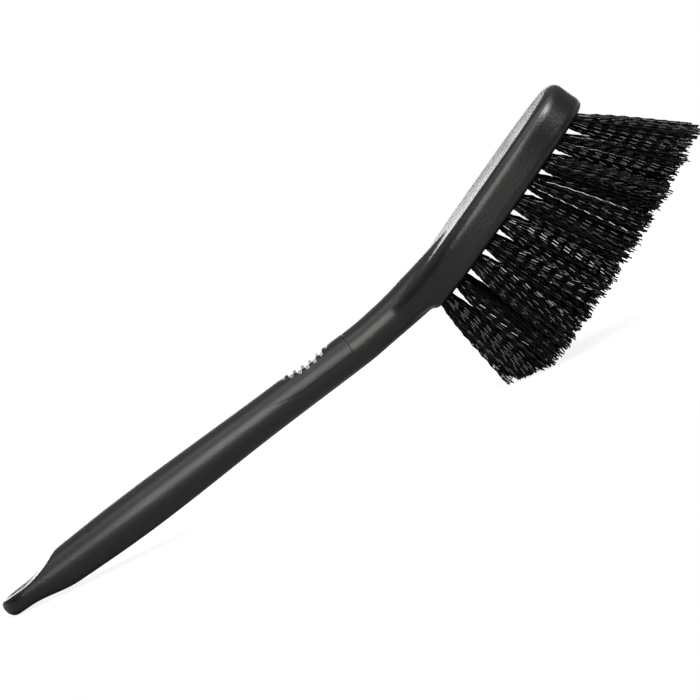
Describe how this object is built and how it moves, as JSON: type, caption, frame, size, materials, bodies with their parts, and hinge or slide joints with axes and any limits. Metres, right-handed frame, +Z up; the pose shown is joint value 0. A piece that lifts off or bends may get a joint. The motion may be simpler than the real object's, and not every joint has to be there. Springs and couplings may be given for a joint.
{
  "type": "bicycle cleaning brush",
  "caption": "Long-handled bicycle washing brush: moulded handle with an angled oval head, a soft ribbed grip and tufts of stiff crimped bristles.",
  "frame": {"origin": "under the middle of the bounding box, on the surface that the brush rests on with the tail of its handle and the bristles at the heel of its head", "axes": "+X from the handle's tail to the toe of the head, +Z up, and the mirror plane at Y = 0"},
  "size_m": [0.3224, 0.0646, 0.0983],
  "materials": {
    "hard_plastic": "fine matt moulded surface, charcoal black",
    "soft_rubber": "soft matt skin, charcoal black",
    "bristle_nylon": "smooth black crimped bristle"
  },
  "bodies": {
    "root": {"handle_body": "hard_plastic", "soft_grip": "soft_rubber", "tuft_c01_r1": "bristle_nylon", "tuft_c01_r2": "bristle_nylon", "tuft_c01_r3": "bristle_nylon", "tuft_c02_r1": "bristle_nylon", "tuft_c02_r2": "bristle_nylon", "tuft_c02_r3": "bristle_nylon", "tuft_c02_r4": "bristle_nylon", "tuft_c03_r1": "bristle_nylon", "tuft_c03_r2": "bristle_nylon", "tuft_c03_r3": "bristle_nylon", "tuft_c03_r4": "bristle_nylon", "tuft_c03_r5": "bristle_nylon", "tuft_c04_r1": "bristle_nylon", "tuft_c04_r2": "bristle_nylon", "tuft_c04_r3": "bristle_nylon", "tuft_c04_r4": "bristle_nylon", "tuft_c04_r5": "bristle_nylon", "tuft_c05_r1": "bristle_nylon", "tuft_c05_r2": "bristle_nylon", "tuft_c05_r3": "bristle_nylon", "tuft_c05_r4": "bristle_nylon", "tuft_c05_r5": "bristle_nylon", "tuft_c06_r1": "bristle_nylon", "tuft_c06_r2": "bristle_nylon", "tuft_c06_r3": "bristle_nylon", "tuft_c06_r4": "bristle_nylon", "tuft_c06_r5": "bristle_nylon", "tuft_c07_r1": "bristle_nylon", "tuft_c07_r2": "bristle_nylon", "tuft_c07_r3": "bristle_nylon", "tuft_c07_r4": "bristle_nylon", "tuft_c07_r5": "bristle_nylon", "tuft_c08_r1": "bristle_nylon", "tuft_c08_r2": "bristle_nylon", "tuft_c08_r3": "bristle_nylon", "tuft_c08_r4": "bristle_nylon", "tuft_c08_r5": "bristle_nylon", "tuft_c09_r1": "bristle_nylon", "tuft_c09_r2": "bristle_nylon", "tuft_c09_r3": "bristle_nylon", "tuft_c09_r4": "bristle_nylon", "tuft_c10_r1": "bristle_nylon", "tuft_c10_r2": "bristle_nylon", "tuft_c10_r3": "bristle_nylon"}
  },
  "joints": []
}
